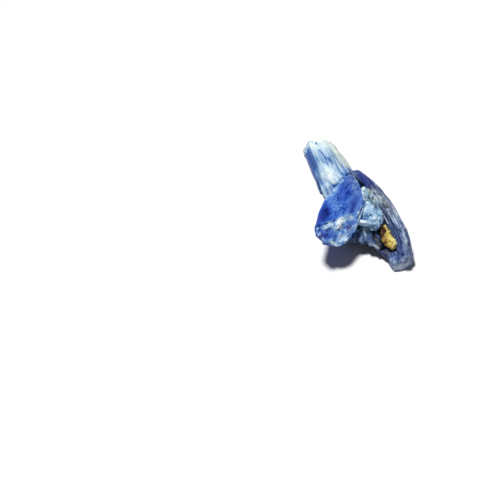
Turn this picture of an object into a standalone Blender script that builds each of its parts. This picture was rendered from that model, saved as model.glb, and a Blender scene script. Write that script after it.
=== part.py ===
"""Kyanite blade cluster: blades of blue kyanite grown together, with a lump of pale quartz and a
grain of yellow matrix caught between them.  It lies on its side, as it was broken from the rock.

Row frame: +Z up, +Y away from the front, origin under the middle of the bounding box, on the
surface the cluster rests on.  The sizes below are millimetres, and MM turns them to metres.
"""

import math
import random
from collections import namedtuple

import bmesh
import bpy
from mathutils import Matrix, Vector

MM = 0.001

# ---------------------------------------------------------------- driving dimensions (mm, degrees)
GAP = 0.3                   # clearance between two pieces that touch
BLADE_HEADING = 19.0        # plan angle of the long blades, from -Y towards +X
BLADE_ORIGIN = (-13.0, 20.5, 0.0)   # the far left foot of the long blades
FRONT_HEADING = -17.4       # plan angle of the blade that crosses them
FRONT_PITCH = 9.0           # how far its near end is raised
FRONT_ORIGIN = (-2.3, 6.5, 8.6)     # its buried far end, on its top face

STATIONS = 7                # cross sections along one lamina
GROOVE_DEPTH = (0.10, 0.30)         # striations along a blade
STATION_WANDER = 0.6        # how unevenly the cross sections follow each other
SIDE_WANDER = 0.10          # how far a lamina strays from straight
END_JAG = 0.30              # splinters at a broken end
JAG_REACH = (-1.0, 0.4)     # how far a splinter falls short of the end or passes it, as shares
FOOT_INSET = 0.17           # a lamina's foot is narrower than its middle, as a share of its width
WAIST_HEIGHT = 0.45         # where a lamina is widest, as a share of its height
SHOULDER = 0.62             # the share of its width over which a side of its top face falls
GROUND_SIZE = 80.0          # a block that trims the feet flat
END_FALL = 0.20             # the share of its length over which an end of its top face falls
FALL_POWER = 1.5            # how the fall steepens towards the end
REAR_SEED, EDGE_SEED = 11, 41       # each lamina's own unevenness is counted up from these

# One lamina of a long blade.  far and near are measured along the blade, and the lamina runs from
# the first span across it to the second.  fall_left, fall_right, fall_far and fall_near lower the
# sides and ends of its top face.
Lamina = namedtuple(
    "Lamina",
    "far near far_span near_span bottom top fall_left fall_right fall_far fall_near grooves",
)

REAR_LAMINAE = (
    # the pale upper laminae, which fan out to the right
    Lamina(-0.6, 13.5, (-0.5, 1.7), (-1.2, 0.8), 0.5, 5.6, 3.1, 0.0, 0.5, 1.2, 1),
    Lamina(0.5, 20.0, (1.0, 2.9), (0.4, 2.6), 1.0, 6.4, 0.4, 0.2, 1.5, 0.8, 3),
    Lamina(0.4, 22.0, (2.5, 4.1), (2.2, 4.3), 1.2, 6.9, 0.2, 0.4, 1.2, 0.8, 3),
    Lamina(0.9, 21.0, (3.8, 5.2), (4.0, 6.0), 1.4, 6.4, 0.4, 0.2, 0.9, 0.7, 2),
    Lamina(1.9, 19.5, (4.8, 6.1), (5.6, 7.3), 1.1, 6.7, 0.1, 0.6, 1.0, 0.9, 2),
    Lamina(3.4, 17.5, (5.6, 6.8), (6.8, 8.3), 0.9, 6.0, 0.2, 1.0, 1.1, 1.2, 2),
    # the blue lower laminae
    Lamina(7.5, 31.0, (-1.0, 1.8), (-1.0, 1.7), 1.3, 4.6, 1.6, 0.0, 0.6, 0.3, 2),
    Lamina(9.0, 31.6, (1.2, 3.6), (1.1, 3.5), 1.8, 5.6, 0.3, 0.3, 0.6, 0.4, 3),
    Lamina(10.0, 32.2, (3.0, 5.2), (3.1, 5.0), 1.6, 5.8, 0.3, 0.3, 0.6, 0.5, 3),
    Lamina(11.0, 32.8, (4.8, 7.0), (4.6, 6.6), 1.7, 5.3, 0.2, 1.0, 0.6, 0.8, 2),
    # the ledge of blue laminae that runs on over them to the near end
    Lamina(22.0, 33.8, (-0.8, 1.9), (-1.4, 1.5), 3.25, 5.0, 0.8, 0.0, 0.3, 0.2, 2),
    Lamina(22.5, 35.0, (1.3, 3.7), (0.7, 3.3), 3.15, 5.9, 0.3, 0.3, 0.3, 0.2, 3),
    Lamina(23.0, 36.6, (2.9, 5.3), (2.6, 4.9), 3.3, 6.2, 0.3, 0.3, 0.3, 0.2, 3),
    Lamina(23.5, 37.8, (4.6, 6.7), (4.2, 6.4), 3.1, 5.9, 0.2, 0.8, 0.3, 0.2, 2),
    # the foot
    Lamina(2.0, 30.0, (0.4, 4.0), (0.2, 3.9), -0.3, 3.4, 0.8, 0.3, 1.0, 0.8, 0),
    Lamina(5.5, 32.0, (3.2, 6.8), (3.2, 6.9), -0.2, 3.6, 0.4, 0.8, 1.0, 0.8, 0),
)
# The rear blades have lost a corner on their left, and their near ledge is snapped off at a slant:
# each break runs through a point, given along, across and up, faces a direction and goes so far.
Break = namedtuple("Break", "point facing reach grain depth seed")

CORNER_BREAK = Break((13.5, 0.6, 4.7), (0.22, -0.70, 0.68), 7.5, 1.2, 0.30, 3)
END_BREAK = Break((34.4, 2.6, 4.75), (0.36, -0.10, 0.93), 16.0, 1.6, 0.16, 4)

EDGE_LAMINAE = (
    # the smooth far end
    Lamina(12.6, 24.5, (7.0, 8.4), (7.3, 10.3), 1.6, 7.7, 0.9, 0.9, 2.6, 1.2, 0),
    # the ridge, and the ledges that step down from it to the right
    Lamina(20.2, 42.3, (6.7, 8.2), (7.2, 8.5), 1.0, 7.0, 0.9, 0.1, 0.7, 2.8, 2),
    Lamina(18.8, 43.2, (7.9, 9.3), (8.1, 9.6), 0.85, 7.5, 0.2, 0.3, 0.9, 3.0, 3),
    Lamina(19.8, 42.3, (8.9, 10.1), (8.9, 10.2), 0.7, 7.1, 0.2, 0.5, 0.8, 2.6, 2),
    Lamina(22.0, 40.6, (9.8, 10.8), (9.6, 10.8), 0.9, 6.3, 0.1, 0.9, 0.7, 1.8, 2),
    Lamina(26.4, 36.0, (10.4, 11.2), (10.3, 11.3), 1.2, 5.4, 0.1, 1.2, 0.7, 0.5, 1),
    # the slope to the left, the foot and the blunt near end
    Lamina(25.0, 40.6, (5.2, 7.6), (5.6, 7.9), 0.6, 4.4, 1.8, 0.2, 0.7, 1.4, 2),
    Lamina(24.0, 42.4, (5.8, 10.2), (5.8, 10.0), -0.3, 3.2, 0.5, 0.6, 0.9, 0.8, 0),
    Lamina(34.6, 43.16, (2.7, 10.2), (5.8, 10.0), 0.1, 4.0, 1.5, 0.9, 0.5, 2.4, 1),
    Lamina(38.4, 43.0, (6.0, 11.0), (7.4, 10.7), 0.3, 4.6, 1.3, 1.2, 0.6, 2.2, 1),
)
EDGE_BOW = 2.4              # how far the edge blade curves to the right
EDGE_SPAN = (14.0, 50.0)    # the chord of that curve, of which the blade is the first part

# The crossing blade is a stack of cleavage sheets.  An outline runs round the sheet in plan, as
# (along, across) from the far end, and roof and floor are measured up from the blade's top face.
Sheet = namedtuple("Sheet", "outline roof floor")

FRONT_SHEETS = (
    Sheet(
        ((-0.2, -0.5), (1.2, 1.8), (4.0, 3.6), (7.2, 5.0), (10.0, 5.5), (14.4, 5.3), (18.8, 5.0),
         (22.4, 3.6), (23.8, 0.8), (23.4, -2.2), (21.6, -3.4), (15.6, -3.8), (10.6, -3.6),
         (6.0, -2.0)),
        0.0, -1.7,
    ),
    Sheet(
        ((0.9, -0.2), (3.8, 2.9), (8.3, 5.9), (14.0, 5.9), (18.6, 5.4), (22.8, 3.9), (23.8, -0.2),
         (21.8, -3.0), (15.0, -3.3), (11.4, -2.9), (5.0, -1.4)),
        -1.4, -3.2,
    ),
    Sheet(
        ((2.4, 0.2), (5.2, 2.8), (9.6, 5.2), (14.8, 5.4), (18.4, 5.0), (22.2, 3.2), (22.8, -0.8),
         (18.8, -2.2), (13.0, -2.6), (8.4, -2.0)),
        -2.9, -4.5,
    ),
)
# It is snapped off across its near end, and the right side of its top face leans outwards.
FRONT_BREAK = Break((17.4, 0.7, 0.0), (0.46, 0.48, 0.75), 16.0, 0.9, 0.30, 5)
FRONT_LEAN = Break((7.0, 1.9, 0.0), (-0.02, 0.20, 0.98), 16.0, 6.0, 0.03, 6)
BREAK_BLOCK = 14.0          # height of the block that a break takes away
BREAK_STRAY = 0.35          # how unevenly a break's facets are spaced, as a share of their size

# A nugget is a faceted lump: its middle in the row frame, its half sizes and its number of corners.
Nugget = namedtuple("Nugget", "middle half corners")

NUGGET_REACH = (0.84, 1.10) # how unevenly its corners lie about the ellipsoid
QUARTZ_SEED, PIT_SEED, MATRIX_SEED = 71, 7, 91
QUARTZ_NUGGETS = (
    Nugget((1.0, 0.4, 6.9), (2.2, 3.4, 1.6), 34),
    Nugget((2.2, -3.4, 7.4), (2.3, 3.0, 2.0), 36),
    Nugget((2.7, -6.7, 7.7), (2.7, 2.5, 2.2), 40),
    Nugget((1.2, -8.1, 7.9), (2.3, 1.4, 1.0), 30),
    Nugget((2.9, -8.0, 6.9), (1.9, 2.2, 1.8), 34),
)
QUARTZ_PIT = Nugget((1.9, -7.3, 9.7), (0.95, 0.95, 1.1), 20)
MATRIX_NUGGETS = (
    Nugget((5.5, -9.2, 5.3), (1.1, 1.9, 1.5), 24),
    Nugget((6.2, -11.0, 5.0), (1.7, 2.3, 1.8), 30),
    Nugget((7.3, -12.1, 4.6), (1.6, 2.0, 1.6), 28),
)

# ---------------------------------------------------------------- finishes: colour and roughness
FINISHES = {
    "pale_kyanite": ((0.42, 0.55, 0.78, 1.0), 0.42),
    "blue_kyanite": ((0.035, 0.095, 0.50, 1.0), 0.34),
    "dark_kyanite": ((0.10, 0.14, 0.30, 1.0), 0.38),
    "quartz": ((0.66, 0.76, 0.80, 1.0), 0.45),
    "yellow_matrix": ((0.72, 0.48, 0.06, 1.0), 0.60),
}


def finish(name):
    """A plain Principled material of the piece's colour and roughness."""
    colour, roughness = FINISHES[name]
    material = bpy.data.materials.new(name)
    material.use_nodes = True
    shader = material.node_tree.nodes["Principled BSDF"]
    shader.inputs["Base Color"].default_value = colour
    shader.inputs["Roughness"].default_value = roughness
    shader.inputs["Metallic"].default_value = 0.0
    return material


# ---------------------------------------------------------------- solids
def heading_frame(origin, heading, pitch=0.0):
    """A frame whose X runs along a blade, Y across it to the right and Z up."""
    turn = Matrix.Rotation(math.radians(heading - 90.0), 4, "Z")
    raise_near_end = Matrix.Rotation(math.radians(-pitch), 4, "Y")
    return Matrix.Translation(Vector(origin)) @ turn @ raise_near_end


BLADE_FRAME = heading_frame(BLADE_ORIGIN, BLADE_HEADING)
FRONT_FRAME = heading_frame(FRONT_ORIGIN, FRONT_HEADING, FRONT_PITCH)


def new_object(name, bm, frame):
    """An object from a closed bmesh drawn in the given frame."""
    bmesh.ops.transform(bm, matrix=frame, verts=bm.verts)
    bmesh.ops.triangulate(bm, faces=bm.faces)
    bmesh.ops.recalc_face_normals(bm, faces=bm.faces)
    mesh = bpy.data.meshes.new(name)
    bm.to_mesh(mesh)
    bm.free()
    made = bpy.data.objects.new(name, mesh)
    bpy.context.scene.collection.objects.link(made)
    return made


def lamina_section(lamina, grooves):
    """The cross section of a lamina, as (share of its width, share of its height, drop) points.

    The points run round the section, and drop is how far one lies below the top face."""
    points = [(FOOT_INSET, 0.0, 0.0), (1.0 - FOOT_INSET, 0.0, 0.0)]
    points.append((1.0, WAIST_HEIGHT, lamina.fall_right))
    steps = 2 * lamina.grooves + 2
    for step in range(steps + 1):
        share = 1.0 - step / steps
        drop = lamina.fall_left * max(0.0, 1.0 - share / SHOULDER)
        drop += lamina.fall_right * max(0.0, 1.0 - (1.0 - share) / SHOULDER)
        if step % 2 and lamina.grooves:
            drop += grooves[step]
        points.append((share, 1.0, drop))
    points.append((0.0, WAIST_HEIGHT, lamina.fall_left))
    return points


def blade_curve(along, bow):
    """How far a curved blade lies to the right at this place along it."""
    middle, half = 0.5 * (EDGE_SPAN[0] + EDGE_SPAN[1]), 0.5 * (EDGE_SPAN[1] - EDGE_SPAN[0])
    return bow * (1.0 - ((along - middle) / half) ** 2)


def lamina_solid(name, lamina, seed, grow, bow=0.0):
    """One striated lamina with splintered ends, made larger by grow on every side."""
    rng = random.Random(seed)
    grooves = [rng.uniform(*GROOVE_DEPTH) for _ in range(2 * lamina.grooves + 2)]
    section = lamina_section(lamina, grooves)
    bm = bmesh.new()
    rings = []
    for station in range(STATIONS):
        share = station / (STATIONS - 1)
        end = -1 if station == 0 else 1 if station == STATIONS - 1 else 0
        along = lamina.far + (lamina.near - lamina.far) * share + end * grow
        if end == 0:
            along += rng.uniform(-STATION_WANDER, STATION_WANDER)
        left, right = [a + (b - a) * share for a, b in zip(lamina.far_span, lamina.near_span)]
        slide = rng.uniform(-SIDE_WANDER, SIDE_WANDER) + blade_curve(along, bow)
        fall = lamina.fall_far * max(0.0, 1.0 - share / END_FALL) ** FALL_POWER
        fall += lamina.fall_near * max(0.0, 1.0 - (1.0 - share) / END_FALL) ** FALL_POWER
        lift = grow + rng.uniform(-SIDE_WANDER, SIDE_WANDER) - fall
        ring = []
        for across, share_up, drop in section:
            side = left - grow + (right - left + 2.0 * grow) * across
            bottom = lamina.bottom - grow
            height = bottom + (lamina.top + lift - drop - bottom) * share_up
            jag = end * rng.uniform(*JAG_REACH) * END_JAG
            ring.append(bm.verts.new((along + jag, side + slide, height)))
        rings.append(ring)
    count = len(section)
    for one, other in zip(rings, rings[1:]):
        for i in range(count):
            bm.faces.new((one[i], one[(i + 1) % count], other[(i + 1) % count], other[i]))
    for ring, end in ((rings[0], -1), (rings[-1], 1)):
        middle = sum((v.co for v in ring), Vector()) / count
        tip = bm.verts.new(middle + Vector((end * rng.uniform(-END_JAG, END_JAG), 0.0, 0.0)))
        for i in range(count):
            bm.faces.new((ring[i], ring[(i + 1) % count], tip))
    return new_object(name, bm, BLADE_FRAME)


def sheet_solid(name, sheet, grow):
    """One cleavage sheet of the crossing blade: its outline, drawn down from roof to floor."""
    middle = sum((Vector(p) for p in sheet.outline), Vector((0.0, 0.0))) / len(sheet.outline)
    bm = bmesh.new()
    rings = []
    for height in (sheet.floor - grow, sheet.roof + grow):
        ring = []
        for point in sheet.outline:
            out = (Vector(point) - middle).normalized() * grow
            ring.append(bm.verts.new((point[0] + out.x, point[1] + out.y, height)))
        rings.append(ring)
    count = len(sheet.outline)
    bm.faces.new(rings[0])
    bm.faces.new(rings[1])
    for i in range(count):
        j = (i + 1) % count
        bm.faces.new((rings[0][i], rings[0][j], rings[1][j], rings[1][i]))
    return new_object(name, bm, FRONT_FRAME)


def break_cutter(name, broken, frame):
    """A block whose underside is the rough surface of a break."""
    rng = random.Random(broken.seed)
    count = int(2 * broken.reach / broken.grain)
    bm = bmesh.new()
    bmesh.ops.create_grid(bm, x_segments=count, y_segments=count, size=broken.reach)
    stray = BREAK_STRAY * broken.grain
    for vert in bm.verts:
        vert.co.x += rng.uniform(-stray, stray)
        vert.co.y += rng.uniform(-stray, stray)
        vert.co.z += rng.uniform(-broken.depth, broken.depth)
    bmesh.ops.triangulate(bm, faces=bm.faces)
    walls = bmesh.ops.extrude_face_region(bm, geom=bm.faces[:])
    for item in walls["geom"]:
        if isinstance(item, bmesh.types.BMVert):
            item.co.z = BREAK_BLOCK
    turn = Vector(broken.facing).normalized().to_track_quat("Z", "Y").to_matrix().to_4x4()
    return new_object(name, bm, frame @ Matrix.Translation(Vector(broken.point)) @ turn)


def ground_cutter():
    """A block whose top is the surface that the cluster rests on."""
    bm = bmesh.new()
    bmesh.ops.create_cube(bm, size=GROUND_SIZE)
    return new_object("ground", bm, Matrix.Translation((0.0, 0.0, -0.5 * GROUND_SIZE)))


def nugget_solid(name, nugget, seed, grow=0.0):
    """A faceted lump: the hull of corners scattered over an ellipsoid."""
    rng = random.Random(seed)
    bm = bmesh.new()
    for _ in range(nugget.corners):
        way = Vector((rng.gauss(0, 1), rng.gauss(0, 1), rng.gauss(0, 1))).normalized()
        reach = rng.uniform(*NUGGET_REACH)
        bm.verts.new([m + w * (h * reach + grow) for m, w, h in zip(nugget.middle, way, nugget.half)])
    hull = bmesh.ops.convex_hull(bm, input=bm.verts)
    inside = [v for v in hull["geom_interior"] if isinstance(v, bmesh.types.BMVert)]
    bmesh.ops.delete(bm, geom=inside, context="VERTS")
    return new_object(name, bm, Matrix.Identity(4))


# ---------------------------------------------------------------- joining and cutting
def combine(target, others, operation):
    """Joins the other solids to target, or cuts them from it, and deletes them.

    EXACT loses the solid where many laminae lie almost face to face, and MANIFOLD doesn't."""
    for other in others:
        step = target.modifiers.new(operation.lower(), "BOOLEAN")
        step.operation = operation
        step.solver = "MANIFOLD"
        step.object = other
        graph = bpy.context.evaluated_depsgraph_get()
        mesh = bpy.data.meshes.new_from_object(target.evaluated_get(graph))
        target.modifiers.clear()
        target.data = mesh
        bpy.data.objects.remove(other)


def keep_largest(target):
    """Removes the chips that a cut leaves beside the piece."""
    bm = bmesh.new()
    bm.from_mesh(target.data)
    left = set(bm.verts)
    islands = []
    while left:
        island, reached = set(), [left.pop()]
        while reached:
            vert = reached.pop()
            island.add(vert)
            for link in vert.link_edges:
                other = link.other_vert(vert)
                if other in left:
                    left.discard(other)
                    reached.append(other)
        islands.append(island)
    islands.sort(key=len)
    for chip in islands[:-1]:
        bmesh.ops.delete(bm, geom=list(chip), context="VERTS")
    bmesh.ops.triangulate(bm, faces=bm.faces)
    bm.to_mesh(target.data)
    bm.free()


# ---------------------------------------------------------------- the pieces
def rear_parts(grow=0.0):
    return [lamina_solid("rear", lamina, REAR_SEED + i, grow)
            for i, lamina in enumerate(REAR_LAMINAE)]


def edge_parts(grow=0.0):
    return [lamina_solid("edge", lamina, EDGE_SEED + i, grow, EDGE_BOW)
            for i, lamina in enumerate(EDGE_LAMINAE)]


def front_parts(grow=0.0):
    return [sheet_solid("front", sheet, grow) for sheet in FRONT_SHEETS]


def quartz_parts(grow=0.0):
    return [nugget_solid("quartz", nugget, QUARTZ_SEED + i, grow)
            for i, nugget in enumerate(QUARTZ_NUGGETS)]


def matrix_parts():
    return [nugget_solid("matrix", nugget, MATRIX_SEED + i)
            for i, nugget in enumerate(MATRIX_NUGGETS)]


def piece(name, parts, cutters, colour):
    """One node: its parts joined, its breaks and its neighbours' room cut away, and its finish."""
    solid = parts[0]
    combine(solid, parts[1:], "UNION")
    combine(solid, cutters, "DIFFERENCE")
    keep_largest(solid)
    solid.name = name
    solid.data.name = name
    solid.data.materials.clear()
    solid.data.materials.append(finish(colour))
    return solid


def settle(pieces):
    """Puts the origin under the middle of the cluster's box, and turns millimetres to metres."""
    corners = [vert.co for solid in pieces for vert in solid.data.vertices]
    low = Vector([min(c[axis] for c in corners) for axis in range(3)])
    high = Vector([max(c[axis] for c in corners) for axis in range(3)])
    middle = Vector((0.5 * (low.x + high.x), 0.5 * (low.y + high.y), low.z))
    for solid in pieces:
        solid.data.transform(Matrix.Scale(MM, 4) @ Matrix.Translation(-middle))


def main():
    for old in list(bpy.data.objects):
        bpy.data.objects.remove(old)
    corner = break_cutter("corner_break", CORNER_BREAK, BLADE_FRAME)
    end = break_cutter("end_break", END_BREAK, BLADE_FRAME)
    snapped = break_cutter("front_break", FRONT_BREAK, FRONT_FRAME)
    lean = break_cutter("front_lean", FRONT_LEAN, FRONT_FRAME)
    pit = nugget_solid("pit", QUARTZ_PIT, PIT_SEED)
    rear = piece("rear_blades", rear_parts(), [corner, end, ground_cutter()], "pale_kyanite")
    edge = piece("edge_blade", edge_parts(), [ground_cutter()] + rear_parts(GAP), "dark_kyanite")
    front = piece("front_blade", front_parts(),
                  [snapped, lean] + rear_parts(GAP) + edge_parts(GAP), "blue_kyanite")
    quartz = piece("pale_quartz", quartz_parts(),
                   [pit] + rear_parts(GAP) + edge_parts(GAP) + front_parts(GAP), "quartz")
    matrix = piece("yellow_matrix", matrix_parts(),
                   rear_parts(GAP) + edge_parts(GAP) + front_parts(GAP) + quartz_parts(GAP),
                   "yellow_matrix")
    settle((rear, edge, front, quartz, matrix))


main()
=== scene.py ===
import math

import bpy
import numpy as np
from mathutils import Matrix, Vector, noise


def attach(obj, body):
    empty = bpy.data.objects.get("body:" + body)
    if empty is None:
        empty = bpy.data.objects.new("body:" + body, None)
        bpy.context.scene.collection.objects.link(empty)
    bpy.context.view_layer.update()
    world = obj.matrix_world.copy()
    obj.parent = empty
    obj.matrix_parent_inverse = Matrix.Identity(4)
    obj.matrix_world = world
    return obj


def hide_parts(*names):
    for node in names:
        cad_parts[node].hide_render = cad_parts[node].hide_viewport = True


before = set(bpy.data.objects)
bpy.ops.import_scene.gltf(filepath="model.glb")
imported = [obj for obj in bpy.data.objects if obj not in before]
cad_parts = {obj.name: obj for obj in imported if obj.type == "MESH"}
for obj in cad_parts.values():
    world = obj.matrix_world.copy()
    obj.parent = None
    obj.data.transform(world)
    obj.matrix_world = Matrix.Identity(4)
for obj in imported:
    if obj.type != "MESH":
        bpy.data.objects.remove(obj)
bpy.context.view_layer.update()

# ------------------------------------------------------------------ rear blades
# Long laths of kyanite that grew side by side and fan out to the right: pale, pearly laminae on
# top of deeper blue ones.  They cleave along their length, so they are striated and splinter at
# the far end.  A corner is broken away on the left, and the near end is snapped off at a slant.


def blade_place(origin, heading, pitch=0.0):
    """A blade's own frame, in millimetres: X runs along it, Y across it to the right and Z up."""
    turn = Matrix.Rotation(math.radians(heading - 90.0), 4, "Z")
    raise_near_end = Matrix.Rotation(math.radians(-pitch), 4, "Y")
    return Matrix.Scale(0.001, 4) @ Matrix.Translation(Vector(origin)) @ turn @ raise_near_end


LONG_BLADES = blade_place((-12.477, 18.679, 0.0), 19.0)    # from their far left foot
BLADE_GRAIN = 0.12          # mm between the vertices of a worked stone
MERGED_WITHIN = 0.001       # mm


def points_of(stone):
    """The places of a mesh's vertices, one row each."""
    found = np.empty(3 * len(stone.data.vertices))
    stone.data.vertices.foreach_get("co", found)
    return found.reshape(-1, 3)


def normals_of(stone):
    """The outward directions at a mesh's vertices, one row each."""
    found = np.empty(3 * len(stone.data.vertices))
    stone.data.vertices.foreach_get("normal", found)
    return found.reshape(-1, 3)


def set_points(stone, points):
    stone.data.vertices.foreach_set("co", points.ravel())
    stone.data.update()


def stone_blank(node, name, place, grain, straighten=None):
    """A finely meshed copy of a solid, laid straight in its blade's own frame."""
    bpy.ops.object.select_all(action="DESELECT")
    stone = bpy.data.objects.new(name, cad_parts[node].data.copy())
    bpy.context.scene.collection.objects.link(stone)
    stone.data.name = name
    stone.data.materials.clear()
    stone.data.transform(place.inverted())
    if straighten:
        set_points(stone, straighten(points_of(stone)))
    stone.select_set(True)
    bpy.context.view_layer.objects.active = stone
    bpy.ops.object.mode_set(mode="EDIT")
    bpy.ops.mesh.select_all(action="SELECT")
    bpy.ops.mesh.remove_doubles(threshold=MERGED_WITHIN)
    bpy.ops.object.mode_set(mode="OBJECT")
    bpy.ops.object.modifier_add(type="REMESH")
    skin = stone.modifiers[-1]
    skin.mode = "VOXEL"
    skin.voxel_size = grain
    bpy.ops.object.modifier_apply(modifier=skin.name)
    return stone


def ripples(points, length, depth, start=0.0):
    """Smooth ridges of these lengths along, across and up, and this depth."""
    spots = points / length + start
    return depth * np.array([noise.noise(spot) for spot in spots.tolist()])


def ledges(points, length, depth, start=0.0):
    """Flat ledges with sharp edges, as cleavage leaves them."""
    sway = ripples(points, (5.0, 1.5, 1.5), 0.25, start)
    spots = points / length + sway[:, None] + start
    return depth * np.array([noise.cell(spot) for spot in spots.tolist()])


def lean_of(middle):
    """The way that the facet around this middle leans: the same way each time."""
    return noise.cell_vector(middle * 7.3) - Vector((0.5, 0.5, 0.5))


def chips(points, length, tilt, start=0.0):
    """Small flat facets, each leaning its own way, as a break leaves them."""
    heights = []
    for spot in (points / length + start).tolist():
        middle = noise.voronoi(spot)[1][0]
        heights.append((Vector(spot) - middle).dot(lean_of(middle)))
    return tilt * np.array(heights)


def facets(points, length, tilt, start=0.0):
    """A broken surface of flat facets that meet in sharp edges."""
    heights = []
    for spot in (points / length + start).tolist():
        heights.append(min((Vector(spot) - middle).dot(lean_of(middle))
                           for middle in noise.voronoi(spot)[1][:3]))
    return tilt * (np.array(heights) + 0.15)


def ramp_up(values, low, high):
    """0 below low, 1 above high, and a smooth rise between."""
    share = np.clip((values - low) / (high - low), 0.0, 1.0)
    return share * share * (3.0 - 2.0 * share)


def unit(direction):
    """The same direction, made one long."""
    return np.array(direction) / np.linalg.norm(direction)


def patch(points, middle, size):
    """1 at the middle of a patch, falling away smoothly to 0 over its size."""
    away = (((points - middle) / size) ** 2).sum(axis=1)
    return np.exp(-away)


def streak(points, start, end, width):
    """1 along a line from start to end, falling away smoothly to 0 over its width."""
    start, end = np.array(start), np.array(end)
    share = np.clip((points - start) @ (end - start) / ((end - start) @ (end - start)), 0.0, 1.0)
    away = np.linalg.norm(points - start - share[:, None] * (end - start), axis=1)
    return np.exp(-((away / width) ** 2))


def marks(points, *strokes):
    """The sum of many marks: each is a share, and then the measures of a patch or of a streak."""
    total = np.zeros(len(points))
    for share, *shape in strokes:
        mark = patch if len(shape) == 2 else streak
        total += share * mark(points, *shape)
    return total


def evened(stone, points, passes):
    """The same points with each one drawn, again and again, to the middle of those around it."""
    ends = np.empty(2 * len(stone.data.edges), dtype=np.int64)
    stone.data.edges.foreach_get("vertices", ends)
    one, other = ends[0::2], ends[1::2]
    near, beside = np.concatenate((one, other)), np.concatenate((other, one))
    links = np.bincount(near, minlength=len(points))[:, None]
    for _ in range(passes):
        points = np.stack([np.bincount(near, points[beside, axis], len(points))
                           for axis in range(3)], axis=1) / links
    return points


DEEPEST_GROOVE, HIGHEST_RIDGE = -0.14, 0.10     # mm, past which the painted shade in grooves and painted light on ridges change no more


def ridges(stone, points, out):
    """How far each vertex stands above the surface around it, in mm: grooves are negative."""
    raised = ((points - evened(stone, points, 10)) * out).sum(axis=1)
    return np.clip(raised, DEEPEST_GROOVE, HIGHEST_RIDGE)


def paint(stone, name, values):
    """Keeps one value at each vertex, for the stone's finish to read."""
    kind = "FLOAT_VECTOR" if values.ndim == 2 else "FLOAT"
    layer = stone.data.attributes.new(name, kind, "POINT")
    layer.data.foreach_set("vector" if values.ndim == 2 else "value", values.ravel())


SHARP_EDGE = math.radians(38.0)


def settle(stone, place, points):
    """Puts a worked stone back in the row frame, with nothing below the ground."""
    set_points(stone, points)
    stone.data.transform(place)
    row_points = points_of(stone)
    row_points[:, 2] = np.maximum(row_points[:, 2], 0.0)
    set_points(stone, row_points)
    bpy.ops.object.select_all(action="DESELECT")
    stone.select_set(True)
    bpy.context.view_layer.objects.active = stone
    bpy.ops.object.shade_smooth_by_angle(angle=SHARP_EDGE)


def add(tree, kind, inputs, output=0, **settings):
    """Adds a shader node, fills its inputs and gives one of its outputs."""
    made = tree.nodes.new("ShaderNode" + kind)
    for key, value in settings.items():
        setattr(made, key, value)
    for key, value in inputs.items():
        if isinstance(value, bpy.types.NodeSocket):
            tree.links.new(value, made.inputs[key])
        else:
            made.inputs[key].default_value = value
    return made.outputs[output]


def tones(tree, value, stops):
    """Colours that follow a value from 0 to 1, given as (place, red, green, blue)."""
    made = tree.nodes.new("ShaderNodeValToRGB")
    ramp = made.color_ramp
    while len(ramp.elements) < len(stops):
        ramp.elements.new(0.5)
    for element, (place, red, green, blue) in zip(ramp.elements, stops):
        element.position = place
        element.color = (red, green, blue, 1.0)
    tree.links.new(value, made.inputs["Fac"])
    return made.outputs["Color"]


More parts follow.
